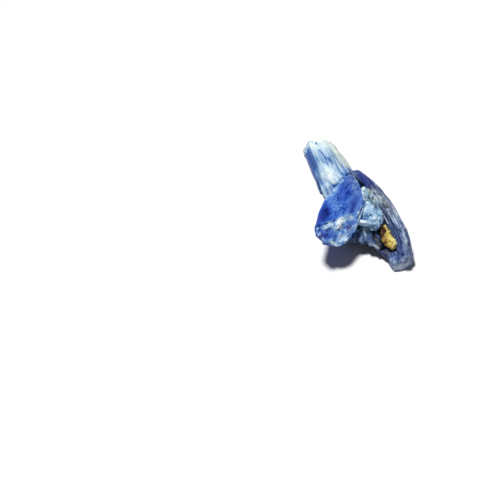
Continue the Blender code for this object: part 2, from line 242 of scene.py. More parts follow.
def kyanite(name, stops, warm, violet, rough, glow):
    """Kyanite: streaks of colour along the blade, pearly and a little see-through."""
    made = bpy.data.materials.new(name)
    made.use_nodes = True
    tree = made.node_tree
    shader = tree.nodes["Principled BSDF"]
    place = add(tree, "Attribute", {}, 1, attribute_name="blade")
    tone, streaky, flecked, sugar, violets, warmth, slaty = [
        add(tree, "Attribute", {}, 2, attribute_name=layer)
        for layer in ("tone", "streaky", "flecked", "sugar", "violet", "warm", "slaty")]

    def stretched(length, across):
        return add(tree, "VectorMath", {0: place, 1: (1.0 / length, 1.0 / across, 1.0 / across)},
                   operation="MULTIPLY")

    def streaks(length, across, detail):
        return add(tree, "TexNoise", {"Vector": stretched(length, across), "Scale": 1.0,
                                      "Detail": detail, "Roughness": 0.62})

    def sum_of(one, other, share=1.0):
        return add(tree, "Math", {0: other, 1: share, 2: one}, operation="MULTIPLY_ADD")

    wide = streaks(9.0, 2.2, 2.0)
    long = streaks(11.0, 0.55, 4.0)
    fine = streaks(4.0, 0.13, 3.0)
    total = sum_of(sum_of(wide, long, 1.4), fine, 1.2)
    total = add(tree, "Math", {0: total, 1: 1.8}, operation="SUBTRACT")
    tone = sum_of(tone, total, streaky)
    # pale dashes along the grain: painted glints
    dashes = add(tree, "MapRange", {0: streaks(1.5, 0.20, 1.0), 1: 0.58, 2: 0.72, 3: 0.0, 4: 0.5})
    tone = sum_of(tone, dashes, flecked)
    crisp = add(tree, "MapRange", {0: streaks(7.0, 0.07, 2.0), 1: 0.34, 2: 0.66, 3: -0.10, 4: 0.10})
    tone = sum_of(tone, crisp, streaky)
    grains = add(tree, "TexVoronoi", {"Vector": stretched(0.34, 0.30), "Scale": 1.0}, 1)
    grain = add(tree, "SeparateColor", {0: grains}, 0)
    grain = add(tree, "Math", {0: grain, 1: 1.6}, operation="POWER")
    grain = add(tree, "Math", {0: grain, 1: 0.38}, operation="SUBTRACT")
    tone = sum_of(tone, grain, sugar)
    grit = add(tree, "TexNoise", {"Vector": place, "Scale": 2.6, "Detail": 5.0, "Roughness": 0.7})
    unstreaked = add(tree, "Math", {0: 0.6, 1: streaky}, operation="SUBTRACT", use_clamp=True)
    gritty = add(tree, "MapRange", {0: grit, 1: 0.30, 2: 0.70, 3: -0.14, 4: 0.14})
    tone = sum_of(tone, gritty, unstreaked)
    colour = tones(tree, tone, stops)
    colour = add(tree, "Mix", {0: violets, 6: colour, 7: violet}, 2, data_type="RGBA")
    depth = add(tree, "RGBToBW", {0: colour})
    slate = add(tree, "VectorMath", {0: depth, 1: (0.85, 1.0, 1.15)}, operation="MULTIPLY")
    colour = add(tree, "Mix", {0: slaty, 6: colour, 7: slate}, 2, data_type="RGBA")
    warm_share = add(tree, "MapRange", {0: long, 1: 0.30, 2: 0.65, 3: 0.0, 4: 1.0})
    warm_share = add(tree, "Math", {0: warmth, 1: warm_share}, operation="MULTIPLY")
    colour = add(tree, "Mix", {0: warm_share, 6: colour, 7: warm}, 2, data_type="RGBA")
    tree.links.new(colour, shader.inputs["Base Color"])
    hairs = streaks(5.0, 0.055, 2.0)
    gloss = add(tree, "MapRange", {0: sum_of(fine, hairs), 1: 0.7, 2: 1.3, 3: rough - 0.14,
                                   4: rough + 0.16})
    tree.links.new(gloss, shader.inputs["Roughness"])
    relief = sum_of(sum_of(fine, long), hairs, 0.5)
    relief = add(tree, "Math", {0: relief, 1: streaky}, operation="MULTIPLY")
    relief = sum_of(relief, grit, unstreaked)
    bump = add(tree, "Bump", {"Strength": 0.6, "Distance": 0.00012, "Height": relief})
    tree.links.new(bump, shader.inputs["Normal"])
    shader.inputs["IOR"].default_value = 1.6
    shader.inputs["Specular IOR Level"].default_value = 0.15
    shader.inputs["Subsurface Weight"].default_value = glow
    shader.inputs["Subsurface Radius"].default_value = (0.6, 0.8, 1.0)
    shader.inputs["Subsurface Scale"].default_value = 0.0006
    return made


def along_grain(out):
    """1 where a face runs along a blade, and near 0 where it cuts across it."""
    return 1.0 - 0.85 * ramp_up(abs(out[:, 0]), 0.35, 0.65)


def dress(stone, points, **layers):
    """Paints where a stone is paler, streaked, flecked with painted glints, sugary, violet, warm
    and slaty.
    """
    paint(stone, "blade", points)
    for layer in ("tone", "streaky", "flecked", "sugar", "violet", "warm", "slaty"):
        values = layers.get(layer, 0.0) + np.zeros(len(points))
        paint(stone, layer, values if layer == "tone" else np.clip(values, 0.0, 1.0))


FAN_MIDDLE = 3.3            # mm across, where the fan of laminae doesn't spread
FAN_SPREAD = 0.33           # how much wider the fan grows over its length
FAN_LENGTH = 20.0           # mm


def fan_width(along):
    return 1.0 + FAN_SPREAD * np.clip(along, 0.0, 22.0) / FAN_LENGTH


def fold_fan(points):
    """Lays the fanned laminae side by side."""
    laid = points.copy()
    laid[:, 1] = FAN_MIDDLE + (points[:, 1] - FAN_MIDDLE) / fan_width(points[:, 0])
    return laid


def open_fan(points):
    """Spreads the laminae as they grew."""
    spread = points.copy()
    spread[:, 1] = FAN_MIDDLE + (points[:, 1] - FAN_MIDDLE) * fan_width(points[:, 0])
    return spread


GROWN_CONTACT = 0.13        # mm that a stone swells, to meet the stones it grew against

rear = stone_blank("rear_blades", "rear_kyanite_blades", LONG_BLADES, BLADE_GRAIN, fold_fan)
rear_laid = points_of(rear)
rear_out = normals_of(rear)
rear_true = open_fan(rear_laid)
along, across, up = rear_true.T
fold = rear_laid[:, 1]
CORNER_BREAK = (13.5, 0.6, 4.7)         # the middle of the corner that is broken away
CORNER_FACING = unit((0.22, -0.70, 0.68))
corner_gap = (rear_true - CORNER_BREAK) @ CORNER_FACING
corner = ramp_up(rear_out @ CORNER_FACING, 0.35, 0.70) * ramp_up(-abs(corner_gap), -0.7, -0.35)
corner *= ramp_up(-np.linalg.norm(rear_true - CORNER_BREAK, axis=1), -8.5, -7.5)
SNAPPED_FACING = unit((0.36, -0.10, 0.93))
snapped = ramp_up(rear_out @ SNAPPED_FACING, 0.4, 0.7) * ramp_up(along, 29.5, 31.0)
far_end = ramp_up(-rear_out[:, 0], 0.45, 0.8)
near_end = ramp_up(rear_out[:, 0], 0.45, 0.8) * (1.0 - snapped)
left_side = ramp_up(-rear_out[:, 1], 0.30, 0.60) * ramp_up(-across, -2.0, -1.4)
frayed = ripples(rear_laid, (7.0, 0.5, 0.35), 2.4, 6.0)
strip = left_side * ramp_up(-along - 0.36 * up - frayed, -10.0, -8.8)
strip *= ramp_up(along + 0.6 * frayed, 0.6, 1.6)
steps = ledges(rear_laid, (8.0, 0.8, 6.0), 1.0, 3.0)
striated = (1.0 - np.maximum(corner, 0.8 * snapped)) * (1.0 - 0.75 * strip)
sheets = ledges(rear_laid, (9.0, 0.62, 1.4), 1.0)
rear_relief = striated * (
    0.07 * sheets + ripples(rear_laid, (14.0, 0.55, 0.55), 0.11, 3.0)
    + ripples(rear_laid, (9.0, 0.26, 0.26), 0.06, 9.0)
)
rear_relief += corner * (
    chips(rear_laid, (3.2, 1.1, 1.1), 0.14) + ripples(rear_laid, (6.0, 0.6, 0.6), 0.12)
    + ripples(rear_laid, (4.0, 0.25, 0.25), 0.04, 5.0)
)
worn_away = 0.8 + ripples(rear_laid, (0.9, 0.35, 0.35), 0.9, 1.0)
lilac_ridge = streak(rear_true, (32.0, 3.2, 5.7), (34.6, 2.8, 4.8), 0.36) * worn_away
rim_ledge = streak(rear_true, (36.1, 3.3, 4.2), (37.8, 5.0, 3.8), 0.50) * worn_away
rear_relief += snapped * (
    0.06 * steps + ripples(rear_laid, (3.0, 1.0, 1.0), 0.18)
    + facets(rear_laid, (2.4, 1.1, 1.1), 0.28, 2.0) + chips(rear_laid, (0.9, 0.4, 0.4), 0.05, 4.0)
    + 0.26 * lilac_ridge + 0.16 * rim_ledge
    + marks(rear_true, (-0.25, (33.2, 1.4, 5.0), (1.4, 1.0, 1.4)),
            (-0.22, (34.9, 4.8, 4.8), (1.0, 0.7, 1.0)))
)
rear_relief += far_end * ledges(rear_laid, (60.0, 0.35, 0.6), 0.22, 5.0)
rear_relief += near_end * ripples(rear_laid, (0.8, 0.5, 0.5), 0.18, 5.0)
worn_end = 0.85 * ramp_up(along, 30.5, 33.0)
rear_worn = rear_laid + (evened(rear, rear_laid, 50) - rear_laid) * worn_end[:, None]
rear_worked = rear_worn + rear_out * (GROWN_CONTACT + rear_relief)[:, None]
rear_points = open_fan(rear_worked)

upper = ramp_up(up, 4.6, 5.4) * ramp_up(-along, -21.0, -17.0)
drape = left_side * ramp_up(along, 9.6, 11.0) * ramp_up(-along, -19.5, -17.0)
rear_tone = 0.30 + 0.22 * upper - 0.12 * strip - 0.06 * drape
rear_tone += (0.10 + 0.08 * upper) * sheets * striated
rear_tone += 0.36 * upper * ramp_up(0.9 * np.maximum(fold - 3.3, 0.0) - along, -8.0, -2.5)
rear_tone += 0.40 * left_side * ramp_up(-along - 0.6 * frayed, -1.6, -0.6)
white_patch = streak(rear_true, (10.8, 1.7, 6.0), (14.6, 1.7, 5.4), 1.1)
white_patch *= 0.85 + ripples(rear_laid, (2.2, 0.5, 0.5), 0.5, 7.0)
rear_tone += 0.14 * corner + 0.36 * white_patch * np.maximum(corner, upper)
pale_corner = streak(rear_true, (11.6, 0.0, 4.8), (14.6, 0.3, 4.3), 0.75)
rear_tone += pale_corner * (0.34 + ripples(rear_laid, (1.6, 0.4, 0.4), 0.20, 4.0))
# painted shade: a dark line on the rear blades along the foot of the front blade, which stands
# above them
painted_contact_shade = np.maximum.reduce([
    streak(rear_true, (15.7, 1.0, 4.5), (16.1, 2.2, 5.2), 0.40),
    streak(rear_true, (16.1, 2.2, 5.2), (16.0, 3.3, 6.6), 0.40),
    streak(rear_true, (16.0, 3.3, 6.6), (14.8, 6.4, 6.4), 0.42)])
rear_tone -= 0.36 * painted_contact_shade
rear_tone += marks(
    rear_true,
    # the far left end of the strip
    (0.24, (1.9, 0.3, 4.8), (1.3, 0.7, 0.9)),
    # the broken corner and the flank under it
    (0.14, (11.6, 1.0, 5.9), (13.8, 1.1, 5.5), 0.5),
    (-0.08, (15.6, 0.0, 4.0), (16.8, -0.1, 3.6), 0.6),
    (0.32, (14.2, -0.7, 3.1), (17.0, -0.9, 2.5), 0.65),
    (-0.04, (12.3, -0.9, 2.9), (1.2, 0.5, 0.9)),
    (0.14, (10.0, -0.5, 3.4), (1.3, 0.7, 1.0)),
    # dark blue laminae on the left of the top
    (-0.36, (4.4, 1.9, 6.2), (7.8, 2.3, 6.5), 0.25),
    (-0.30, (8.2, 2.9, 6.7), (10.4, 3.2, 6.7), 0.30),
    (-0.10, (4.4, 1.5, 6.1), (8.6, 1.1, 6.1), 0.35),
    (-0.12, (10.2, 1.0, 6.2), (1.1, 0.6, 0.9)),
    (-0.16, (10.4, 2.7, 6.7), (15.8, 3.1, 6.6), 0.13),
    (-0.12, (9.6, 3.6, 6.7), (15.6, 4.1, 6.6), 0.16),
    # the blue blot near the crossing, and the right of the top
    (-0.34, (14.0, 4.6, 6.3), (15.4, 5.8, 6.5), 0.6),
    (-0.16, (14.5, 6.3, 6.5), (1.1, 0.8, 0.8)),
    (-0.22, (7.0, 4.9, 6.5), (15.0, 5.8, 6.4), 0.25),
    (-0.20, (12.6, 6.6, 6.3), (15.5, 7.2, 6.0), 0.9),
    (-0.22, (13.1, 6.7, 6.3), (1.0, 0.7, 0.8)),
    (0.18, (6.6, 5.9, 6.5), (9.6, 6.3, 6.2), 0.6),
    # the shade under the ledge's rim
    (-0.34, (35.0, 0.4, 3.9), (35.3, 2.0, 3.9), 0.55),
)
rear_tone -= 0.22 * ramp_up(along, 22.0, 26.0)
# on the snapped end the lilac ridge is pale lilac and also carries a painted highlight
rear_tone += snapped * (
    0.12 + 0.05 * steps + ripples(rear_laid, (2.0, 0.7, 0.7), 0.12, 4.0) + 0.20 * lilac_ridge
    - 0.12 * ramp_up(across, 4.4, 5.2)
    + marks(rear_true, (0.14, (33.2, 1.0, 5.0), (1.2, 1.6, 0.8)),
            # painted light: the strong pale patch at the top of the snapped end, where the quartz
            # shades it
            (0.64, (32.3, 4.1, 5.8), (0.9, 1.4, 0.8)), (0.16, (33.4, 4.2, 5.4), (0.7, 0.7, 0.8)),
            (0.20, (35.1, 1.6, 4.4), (1.0, 1.6, 0.6)), (0.06, (34.6, 3.6, 4.9), (0.7, 0.6, 0.8)),
            (-0.40, (34.2, 4.9, 5.0), (35.2, 4.9, 4.7), 0.55))
)
rear_tone += 0.34 * rim_ledge - 0.34 * ramp_up(along, 35.0, 36.2) * ramp_up(across, 4.8, 5.5)
# painted shade: faces that point down towards the near end are darkened
rear_tone -= 0.40 * ramp_up(along, 24.0, 27.0) * ramp_up(-rear_out[:, 2], 0.2, 0.6)
# painted shade in the grooves and painted light on the ridges
rear_tone += 1.6 * ridges(rear, rear_worked, rear_out)
rear_warm = upper * ramp_up(fold, 4.1, 4.8) * ramp_up(-along, -13.5, -11.0)
rear_warm += 0.7 * rim_ledge
upper_right = upper * ramp_up(fold, 5.2, 5.8) * ramp_up(along, 12.0, 13.4)
dress(
    rear, rear_laid, tone=rear_tone, warm=rear_warm, flecked=0.2 * corner,
    streaky=along_grain(rear_out) * (0.55 - 0.40 * strip + 0.3 * drape - 0.2 * corner)
    * (1.0 - 0.85 * snapped) * (1.0 - 0.5 * np.clip(white_patch + pale_corner, 0.0, 1.0)),
    violet=0.55 * streak(rear_true, (8.6, 3.0, 6.7), (10.2, 3.2, 6.7), 0.35)
    + 0.25 * snapped * patch(rear_true, (34.6, 0.9, 4.5), (1.2, 1.6, 0.8)),
    slaty=0.5 * ramp_up(along, 27.0, 30.0) + 0.3 * rim_ledge + 0.45 * upper_right
    + 0.4 * streak(rear_true, (15.4, 0.0, 4.0), (17.2, -0.2, 3.4), 0.7)
    + 0.2 * pale_corner + 0.1 * painted_contact_shade,
)
settle(rear, LONG_BLADES, rear_points)
rear.data.materials.append(kyanite(
    "pale_kyanite",
    ((0.00, 0.006, 0.016, 0.060), (0.18, 0.014, 0.076, 0.330), (0.36, 0.078, 0.200, 0.480),
     (0.54, 0.260, 0.410, 0.610), (0.74, 0.480, 0.640, 0.770), (0.98, 0.760, 0.860, 0.860)),
    (0.60, 0.63, 0.52, 1.0), (0.060, 0.070, 0.300, 1.0), 0.38, 0.12,
))
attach(rear, "root")
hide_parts("rear_blades")

# ------------------------------------------------------------------ edge blade
# A darker, slate-blue blade that bows to the right beside the others.  Thin laminae step down
# from its ridge like the edges of pages; its far end is one smooth violet-blue cleavage face.

BOW = 2.4                   # mm that it curves to the right
BOW_MIDDLE = 32.0           # mm along the blade, where it curves the most
BOW_HALF = 18.0             # mm from there to where the curve is back at nothing


def bow_of(along):
    return BOW * (1.0 - ((along - BOW_MIDDLE) / BOW_HALF) ** 2)


def unbow(points):
    laid = points.copy()
    laid[:, 1] -= bow_of(points[:, 0])
    return laid


def bow_again(points):
    bent = points.copy()
    bent[:, 1] += bow_of(points[:, 0])
    return bent


edge = stone_blank("edge_blade", "edge_kyanite_blade", LONG_BLADES, BLADE_GRAIN, unbow)
edge_laid = points_of(edge)
edge_out = normals_of(edge)
edge_true = bow_again(edge_laid)
along, across, up = edge_laid.T
far_face = ramp_up(-along, -21.0, -19.8) * ramp_up(edge_out[:, 2], -0.2, 0.3)
far_face *= ramp_up(-edge_out[:, 1], -0.50, -0.30) * ramp_up(-edge_true[:, 1], -10.8, -10.2)
tip = ramp_up(along, 38.6, 41.4)
worn = evened(edge, edge_laid, 24)
edge_even = edge_laid + (worn - edge_laid) * tip[:, None]
edge_sheets = ledges(edge_laid, (11.0, 0.42, 0.8), 1.0, 2.0)
edge_relief = (1.0 - 0.85 * far_face) * (1.0 - 0.85 * tip) * (
    0.06 * edge_sheets + ripples(edge_laid, (14.0, 0.6, 0.6), 0.08, 6.0)
    + ripples(edge_laid, (9.0, 0.22, 0.22), 0.035, 1.0)
)
crumbs = streak(edge_true, (23.2, 9.2, 6.7), (30.0, 10.7, 7.3), 0.75)
edge_relief += crumbs * (
    chips(edge_laid, (0.8, 0.4, 0.4), 0.20, 2.0) + ripples(edge_laid, (1.0, 0.6, 0.6), 0.20, 9.0))
edge_relief += ramp_up(abs(edge_out[:, 0]), 0.45, 0.8) * (1.0 - tip) * ripples(
    edge_laid, (0.9, 0.35, 0.5), 0.10, 8.0)
edge_relief += tip * (
    ripples(edge_laid, (1.6, 1.3, 1.3), 0.24, 4.0) + ripples(edge_laid, (2.4, 0.5, 0.5), 0.06, 7.0)
    + facets(edge_laid, (1.6, 1.2, 1.2), 0.30, 5.0))
tip_pit = patch(edge_true, (41.9, 9.6, 4.4), (0.6, 0.5, 0.7))
edge_relief -= 0.35 * tip_pit
edge_worked = edge_even + edge_out * (GROWN_CONTACT + edge_relief)[:, None]
green = streak(edge_true, (23.0, 9.4, 6.8), (26.6, 10.6, 7.2), 0.90)
green += 0.45 * streak(edge_true, (27.2, 10.5, 7.3), (30.5, 10.9, 7.4), 0.75)
green *= 0.75 + ripples(edge_laid, (1.2, 0.5, 0.5), 1.1, 3.0)
crust = streak(edge_true, (23.4, 8.9, 6.5), (25.6, 9.6, 6.7), 0.75)
dark_dash = streak(edge_true, (27.2, 10.0, 7.2), (28.8, 10.5, 7.3), 0.32)
lilac_facet = streak(edge_true, (32.8, 11.0, 7.3), (35.2, 11.5, 7.0), 0.6)
# painted shade on the flanks of the edge blade that face left and right
shaded_left_flank = ramp_up(-edge_out[:, 1], 0.25, 0.6) * ramp_up(up, 1.5, 3.0)
shaded_right_flank = ramp_up(edge_out[:, 1], 0.35, 0.7)
edge_tone = 0.24 + 0.08 * ramp_up(along, 26.0, 34.0)
edge_tone += (0.12 - 0.05 * shaded_right_flank + 0.10 * green) * (
    edge_sheets * (1.0 - tip) * along_grain(edge_out))
# painted light: faces that point up are made paler
edge_tone += 0.10 * ramp_up(edge_out[:, 2], 0.3, 0.8)
edge_tone += green * (0.34 + ripples(edge_laid, (0.8, 0.45, 0.45), 0.5, 2.0))
edge_tone += crust * (0.40 + ripples(edge_laid, (0.8, 0.5, 0.5), 0.3, 7.0))
edge_tone += 0.22 * lilac_facet - 0.50 * dark_dash - 0.06 * shaded_left_flank - 0.10 * shaded_right_flank
edge_tone += marks(
    edge_true,
    # pale and dark laminae along the ridge and its right side
    (0.10, (26.8, 9.3, 6.4), (29.0, 9.6, 6.6), 0.6),
    (0.20, (20.6, 10.9, 6.9), (24.6, 12.0, 6.4), 0.28),
    (-0.20, (21.0, 11.0, 6.9), (25.0, 11.6, 6.8), 0.15),
    (0.24, (28.6, 12.0, 6.9), (32.0, 12.2, 6.9), 0.22),
    (0.34, (37.6, 11.1, 7.2), (41.2, 11.0, 6.6), 0.45),
    # two bright chips
    (0.55, (35.5, 12.5, 6.3), (0.45, 0.4, 0.8)),
    (0.50, (42.6, 9.5, 3.5), (0.55, 0.6, 0.6)),
    # the near flank, darkened as painted shade, with one pale line
    (-0.36, (38.8, 6.4, 2.3), (2.6, 1.4, 1.6)),
    (0.16, (37.0, 6.2, 2.6), (38.6, 6.5, 1.6), 0.25),
)
edge_tone += tip * (
    0.10 + ripples(edge_laid, (1.8, 1.3, 1.3), 0.16, 9.0)
    + ripples(edge_laid, (0.7, 0.4, 0.4), 0.10, 5.0)
    + marks(edge_true, (0.22, (41.4, 7.2, 1.9), (1.2, 0.8, 1.0)),
            (-0.26, (42.0, 8.4, 3.1), (0.6, 0.6, 0.8)), (0.46, (43.0, 9.0, 1.4), (0.9, 2.2, 1.0)),
            (0.26, (42.8, 10.8, 2.7), (0.9, 0.9, 1.2)))
# painted shade in the pit at the tip
) - 0.30 * tip_pit
# painted shade in the grooves and painted light on the ridges
edge_tone += 1.8 * ridges(edge, edge_worked, edge_out)
far_flank = streak(edge_true, (15.0, 7.2, 6.6), (19.0, 7.9, 6.2), 0.8)
far_ridge = patch(edge_true, (16.4, 8.2, 7.2), (1.2, 0.7, 0.6))
edge_tone += 0.24 * far_flank
lilac = streak(edge_true, (20.8, 11.0, 6.9), (25.0, 12.0, 6.4), 0.7) + 0.4 * lilac_facet
dress(
    edge, edge_laid,
    tone=edge_tone * (1.0 - far_face) + far_face * (
        0.13 + 0.05 * edge_sheets + 0.24 * ramp_up(-along, -16.6, -15.2) + 0.24 * far_flank
        + 0.16 * far_ridge),
    streaky=along_grain(edge_out) * (1.0 - 0.8 * far_face) * (1.0 - 0.8 * tip)
    * (0.85 - 0.5 * np.clip(green + crust, 0.0, 1.0)),
    flecked=0.2 * (1.0 - far_face) * (1.0 - tip),
    warm=0.8 * green,
    violet=0.7 * far_face * (1.0 - 0.7 * far_flank) + 0.3 * lilac + 0.15 * tip,
    slaty=0.4 * (1.0 - far_face) * ramp_up(along, 20.0, 23.0) * ramp_up(-along, -34.0, -31.0)
    + 0.2 * far_flank,
)
settle(edge, LONG_BLADES, bow_again(edge_worked))
edge.data.materials.append(kyanite(
    "dark_kyanite",
    ((0.02, 0.008, 0.014, 0.045), (0.24, 0.018, 0.036, 0.130), (0.42, 0.066, 0.112, 0.270),
     (0.62, 0.200, 0.280, 0.440), (0.88, 0.560, 0.640, 0.740)),
    (0.34, 0.41, 0.34, 1.0), (0.014, 0.036, 0.260, 1.0), 0.36, 0.05,
))
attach(edge, "root")
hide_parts("edge_blade")

# ------------------------------------------------------------------ front blade
# A thick plate of royal-blue kyanite that grew across the others and leans up to the front.  Its
# top is one smooth cleavage face; it is snapped off across the near end, where it looks sugary.

FRONT_BLADE = blade_place((-1.777, 4.679, 8.6), -17.4, 9.0)     # from its far corner
PLATE_GRAIN = 0.11          # mm

front = stone_blank("front_blade", "front_kyanite_blade", FRONT_BLADE, PLATE_GRAIN)
front_laid = points_of(front)
front_out = normals_of(front)
along, across, up = front_laid.T
SNAP_FACING = unit((0.46, 0.48, 0.75))
snap_gap = (front_laid - (17.4, 0.7, 0.0)) @ SNAP_FACING
snap = ramp_up(front_out @ SNAP_FACING, 0.35, 0.65) * ramp_up(-abs(snap_gap), -0.8, -0.4)
snap *= np.maximum(ramp_up(-up, 0.5, 1.0), ramp_up(along + 1.14 * across, 18.2, 18.7))
top_face = ramp_up(front_out[:, 2], 0.80, 0.95) * (1.0 - snap) * ramp_up(up, -1.2, -0.8)
sides = (1.0 - top_face) * (1.0 - snap)
rim = 4.0 * top_face * (1.0 - top_face) * ramp_up(up, -1.2, -0.8) * (1.0 - snap)
# painted glints: pale flecks along the grain on the top face
glint_flecks = streak(front_laid, (9.2, -1.4, 0.0), (14.8, 0.8, 0.0), 2.0) * top_face
dashes = ripples(front_laid, (0.8, 0.30, 0.6), 1.0, 6.0)
front_relief = top_face * (
    ripples(front_laid, (6.0, 1.1, 1.1), 0.07) + ledges(front_laid, (7.0, 1.8, 1.8), 0.025, 4.0)
    + ripples(front_laid, (3.0, 0.3, 0.6), 0.016, 3.0) + 0.06 * glint_flecks * dashes
)
front_relief += sides * (
    ripples(front_laid, (2.6, 2.6, 0.30), 0.14, 2.0) + ledges(front_laid, (4.0, 4.0, 0.4), 0.09)
)
front_relief += rim * (ripples(front_laid, (0.9, 0.9, 0.9), 0.30, 7.0) - 0.06)
front_relief += snap * (
    chips(front_laid, (0.70, 0.70, 0.70), 0.22) + chips(front_laid, (0.34, 0.34, 0.34), 0.14, 3.0)
    + ripples(front_laid, (1.8, 1.8, 1.8), 0.30)
)
front_points = front_laid + front_out * (0.6 * GROWN_CONTACT + front_relief)[:, None]
right_facet = ramp_up(front_out[:, 1], 0.08, 0.16) * top_face
front_tone = 0.39 + ripples(front_laid, (3.0, 1.5, 1.5), 0.20, 2.0) + 0.03 * right_facet
# painted glints in pale flecks on the top, and painted shade that makes the sides a little darker
front_tone += 0.40 * glint_flecks * np.clip(dashes - 0.08, 0.0, 1.0) - 0.08 * sides
front_tone += marks(
    front_laid,
    # paler along the left edge, and dark down the middle and the right
    (0.18, (11.5, -3.6, 0.0), (8.0, -2.9, 0.0), 0.8),
    (0.12, (7.0, -2.6, 0.0), (3.6, -0.6, 0.0), 0.9),
    (-0.08, (5.0, 0.8, 0.0), (3.4, 1.4, 2.0)),
    (-0.08, (7.8, 3.4, 0.0), (12.4, 3.4, 0.0), 0.9),
    (0.16, (9.6, 4.9, -0.5), (1.5, 0.8, 0.9)),
)
front_tone += top_face * (
    ripples(front_laid, (1.6, 0.8, 0.8), 0.12, 9.0)
    + ripples(front_laid, (0.7, 0.35, 0.35), 0.08, 4.0)
    + marks(front_laid, (-0.22, (15.6, -2.6, 0.0), (19.6, -2.6, 0.0), 1.7),
            (-0.05, (9.0, 0.4, 0.0), (4.5, 2.2, 2.0)),
            (0.12, (9.4, -2.3, 0.0), (11.4, -0.7, 0.0), 0.8))
)
quartz_rind = streak(front_laid, (9.0, 5.9, -1.3), (13.2, 5.7, -1.5), 0.65)
front_tone += quartz_rind * (0.10 + ripples(front_laid, (0.6, 0.6, 0.6), 0.3, 3.0))
shoulder = streak(front_laid, (2.4, 1.6, 0.0), (5.6, 2.6, 0.0), 1.0)
front_tone += shoulder * (0.12 + ripples(front_laid, (0.9, 0.5, 0.5), 0.26, 5.0))
apex = patch(front_laid, (0.6, 0.6, 0.0), (3.2, 1.8, 2.0))
front_tone += apex * ripples(front_laid, (0.9, 0.6, 0.6), 0.24, 1.0)
front_tone += snap * (
    0.18 + ripples(front_laid, (1.3, 1.3, 1.3), 0.24, 8.0)
    + marks(
        front_laid,
        # the white band along the top of the break, and white and blue spots below it
        (0.24, (22.2, -3.0, -0.6), (15.2, 3.8, -0.6), 0.7),
        (0.22, (18.0, 1.6, -1.2), (1.8, 1.6, 1.6)),
        (0.16, (19.6, 3.4, -3.3), (1.6, 1.2, 1.4)),
        (0.26, (23.6, 0.6, -3.2), (21.6, 3.4, -4.6), 0.5),
        (-0.12, (20.6, -1.4, -0.7), (1.2, 0.9, 0.9)),
        (-0.08, (22.0, 0.6, -2.7), (1.1, 0.9, 1.0)),
        (-0.14, (22.3, -1.0, -2.0), (1.4, 1.2, 1.0)),
    )
)
# painted shade in the grooves and painted light on the ridges
front_tone += 1.5 * ridges(front, front_points, front_out) + 0.14 * rim
violet_spots = marks(
    front_laid, (1.0, (17.3, 4.0, -2.2), (1.3, 0.8, 1.2)),
    (0.8, (22.4, -1.4, -2.2), (1.2, 1.0, 1.0)), (0.5, (18.9, -3.2, 0.0), (1.6, 0.7, 1.0)))
dress(
    front, front_laid, tone=front_tone, streaky=0.16 + 0.3 * sides + 0.10 * snap,
    flecked=0.6 * glint_flecks, sugar=0.22 * snap, violet=0.75 * violet_spots,
    warm=0.15 * right_facet + 0.4 * apex * (1.0 - sides),
    slaty=0.08 * right_facet + 0.3 * apex + 0.15 * shoulder + 0.4 * quartz_rind,
)
settle(front, FRONT_BLADE, front_points)
front.data.materials.append(kyanite(
    "blue_kyanite",
    ((0.02, 0.004, 0.012, 0.110), (0.24, 0.012, 0.046, 0.310), (0.42, 0.042, 0.125, 0.520),
     (0.60, 0.120, 0.270, 0.620), (0.80, 0.380, 0.560, 0.760), (1.00, 0.850, 0.930, 0.960)),
    (0.13, 0.22, 0.42, 1.0), (0.070, 0.060, 0.360, 1.0), 0.34, 0.05,
))
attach(front, "root")
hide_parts("front_blade")

# ------------------------------------------------------------------ pale quartz
# Milky quartz that filled the space between the blades: a crumbly lump, stained a little by the
# kyanite, with a round pit where a grain fell out.

ROW = Matrix.Scale(0.001, 4)    # the row's own frame, in millimetres
LUMP_GRAIN = 0.11               # mm
PIT = (1.05, -9.35, 8.9)

quartz = stone_blank("pale_quartz", "pale_quartz_lump", ROW, LUMP_GRAIN)
quartz_laid = points_of(quartz)
quartz_out = normals_of(quartz)
quartz_even = evened(quartz, quartz_laid, 3)
pit_away = np.linalg.norm(quartz_laid - PIT, axis=1)
pit = np.exp(-((pit_away / 0.95) ** 2))
pit_rim = np.exp(-(((pit_away - 1.25) / 0.45) ** 2))
lip = streak(quartz_laid, (0.0, -10.2, 8.1), (2.6, -11.0, 8.4), 0.45)
quartz_relief = (
    facets(quartz_laid, (2.2, 2.2, 1.8), 0.75, 4.0)
    + facets(quartz_laid, (0.9, 0.9, 0.9), 0.32, 7.0)
    + ripples(quartz_laid, (2.2, 2.2, 2.2), 0.16, 5.0)
    - 0.90 * pit + 0.14 * pit_rim + 0.24 * lip
    - 0.55 * patch(quartz_laid, (4.9, -8.6, 9.1), (0.8, 1.2, 1.2))
)
quartz_points = quartz_even + quartz_out * (GROWN_CONTACT + quartz_relief)[:, None]
quartz_points = evened(quartz, quartz_points, 1)
weld = streak(quartz_laid, (0.3, -7.4, 8.5), (-0.1, -10.4, 8.1), 1.0) * ramp_up(
    -quartz_out[:, 0], -0.3, 0.3)
quartz_points += weld[:, None] * np.array((-1.0, 0.0, 0.25))
ragged = ramp_up(quartz_laid[:, 1], -5.6, -4.4)
quartz_points += quartz_out * (
    (1.0 + 1.5 * ragged) * chips(quartz_laid, (0.45, 0.45, 0.45), 0.09, 3.0)
    + ragged * ripples(quartz_laid, (0.8, 0.8, 0.8), 0.26, 6.0))[:, None]
# painted shade in the pit
quartz_tone = 0.18 * patch(quartz_laid, (1.7, -6.0, 9.0), (1.5, 1.4, 1.5)) - 0.75 * pit
